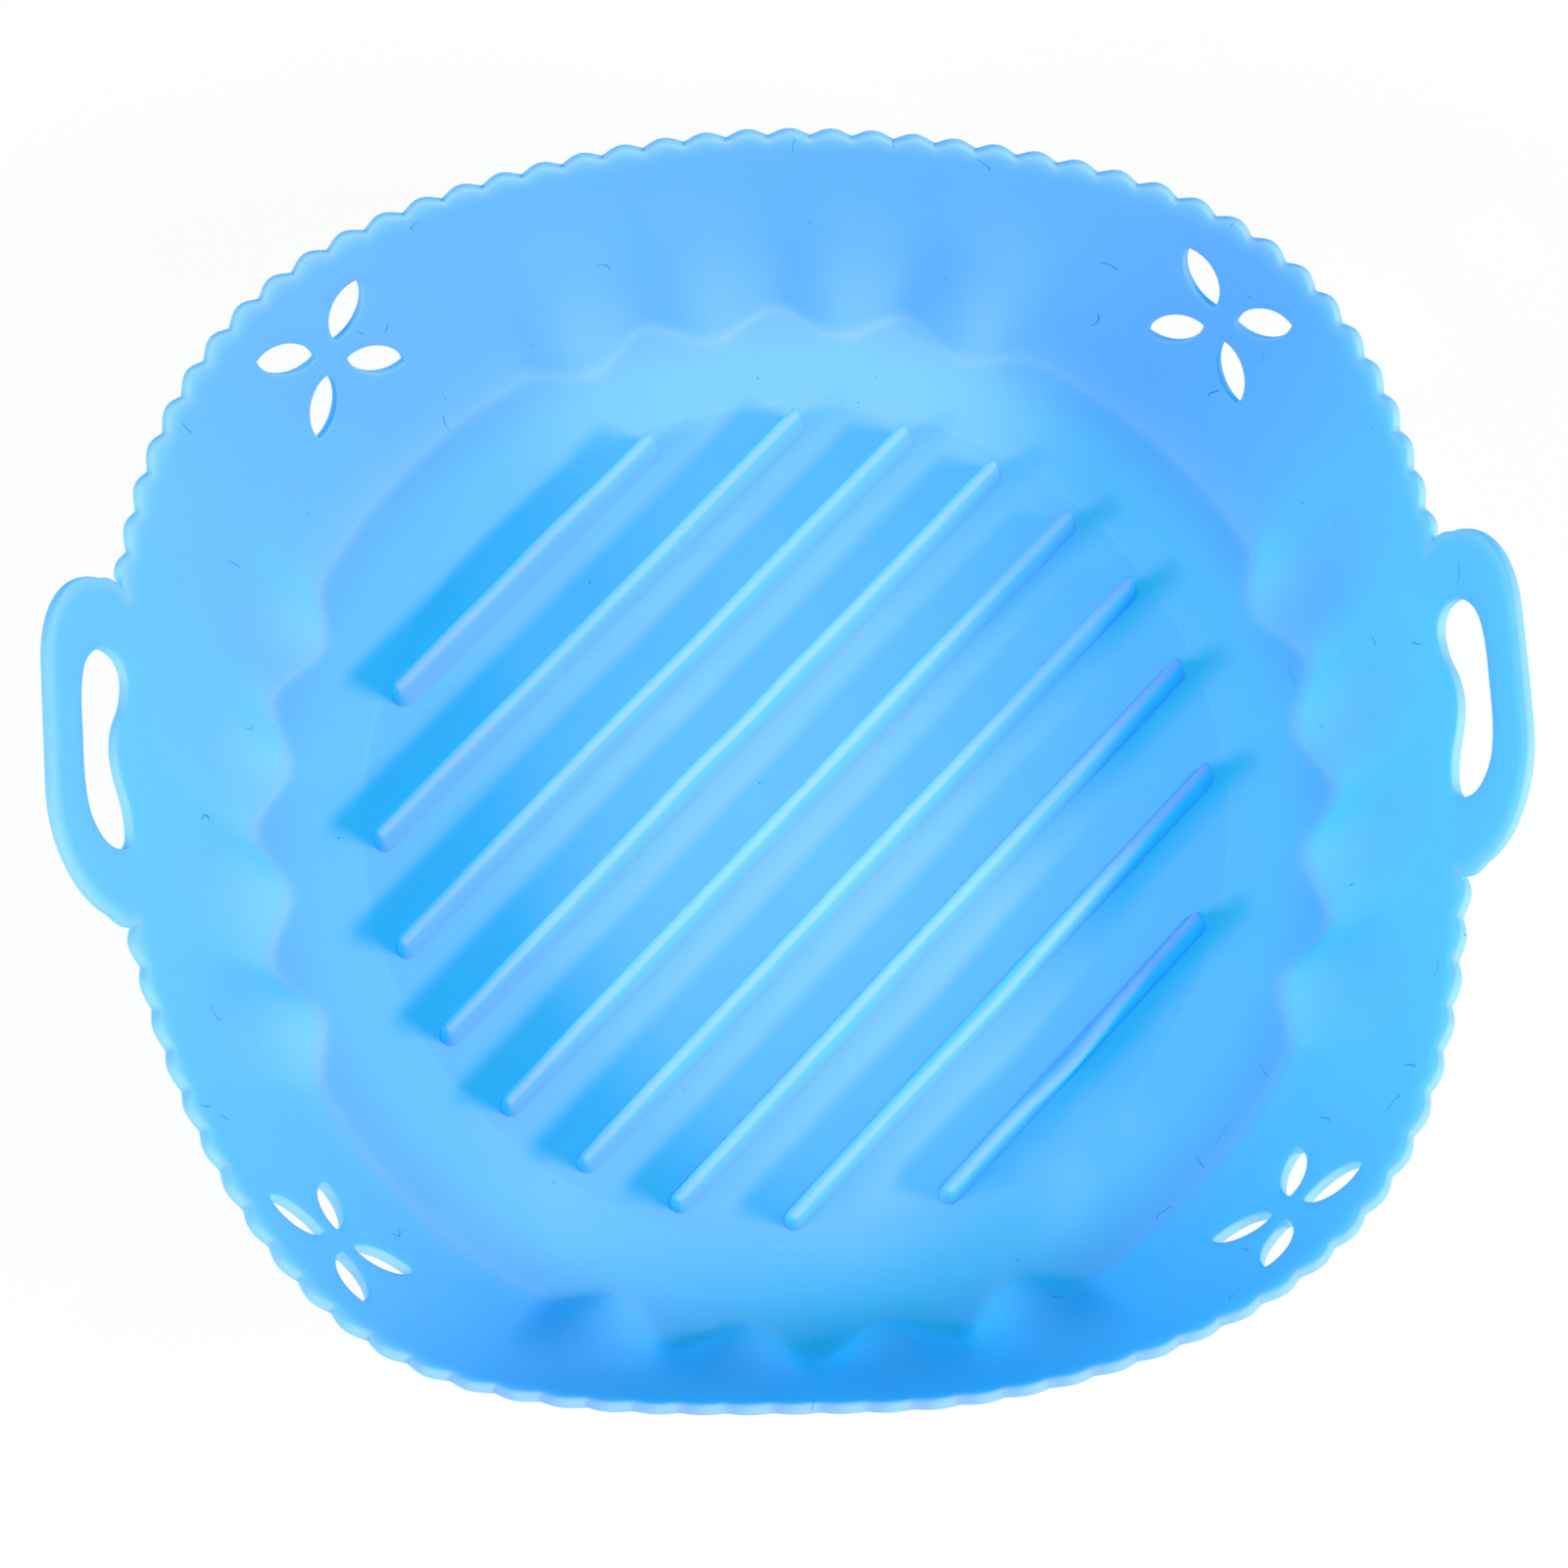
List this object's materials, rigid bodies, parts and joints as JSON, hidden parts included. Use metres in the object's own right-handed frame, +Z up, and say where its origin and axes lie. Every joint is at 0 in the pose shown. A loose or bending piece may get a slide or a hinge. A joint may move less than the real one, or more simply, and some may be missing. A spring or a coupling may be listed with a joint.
{
  "type": "silicone air fryer liner",
  "caption": "Shallow flared silicone liner for an air fryer basket: ribbed floor, fluted wall, petal vents, scalloped rim and flexing loop ears to lift it out.",
  "frame": {"origin": "centre of the floor's underside, on the surface that the liner stands on", "axes": "+Z up out of the bowl, +X through the right ear, +Y away from the viewer of the picture; the ribs run at 45 degrees between +X and +Y"},
  "size_m": [0.1978, 0.1862, 0.0569],
  "materials": {
    "silicone": "satin translucent silicone"
  },
  "bodies": {
    "bowl": {"floor_pan": "silicone", "rib_1": "silicone", "rib_2": "silicone", "rib_3": "silicone", "rib_4": "silicone", "rib_5": "silicone", "rib_6": "silicone", "rib_7": "silicone", "rib_8": "silicone", "rib_9": "silicone", "wall_front": "silicone", "wall_back": "silicone", "wall_left": "silicone", "wall_right": "silicone", "corner_front_left": "silicone", "corner_front_right": "silicone", "corner_back_left": "silicone", "corner_back_right": "silicone", "rim_front": "silicone", "rim_back": "silicone"},
    "left_ear": {"ear_left": "silicone"},
    "right_ear": {"ear_right": "silicone"}
  },
  "joints": [
    {"name": "left_ear_flex", "type": "hinge", "parent": "bowl", "child": "left_ear", "pos_m": [-0.09152, 0, 0.0381], "axis": [0, 1, 0], "range_deg": [-60, 75], "stiffness_Nm_per_rad": 0.003},
    {"name": "right_ear_flex", "type": "hinge", "parent": "bowl", "child": "right_ear", "pos_m": [0.09152, 0, 0.0381], "axis": [0, -1, 0], "range_deg": [-60, 75], "stiffness_Nm_per_rad": 0.003}
  ]
}
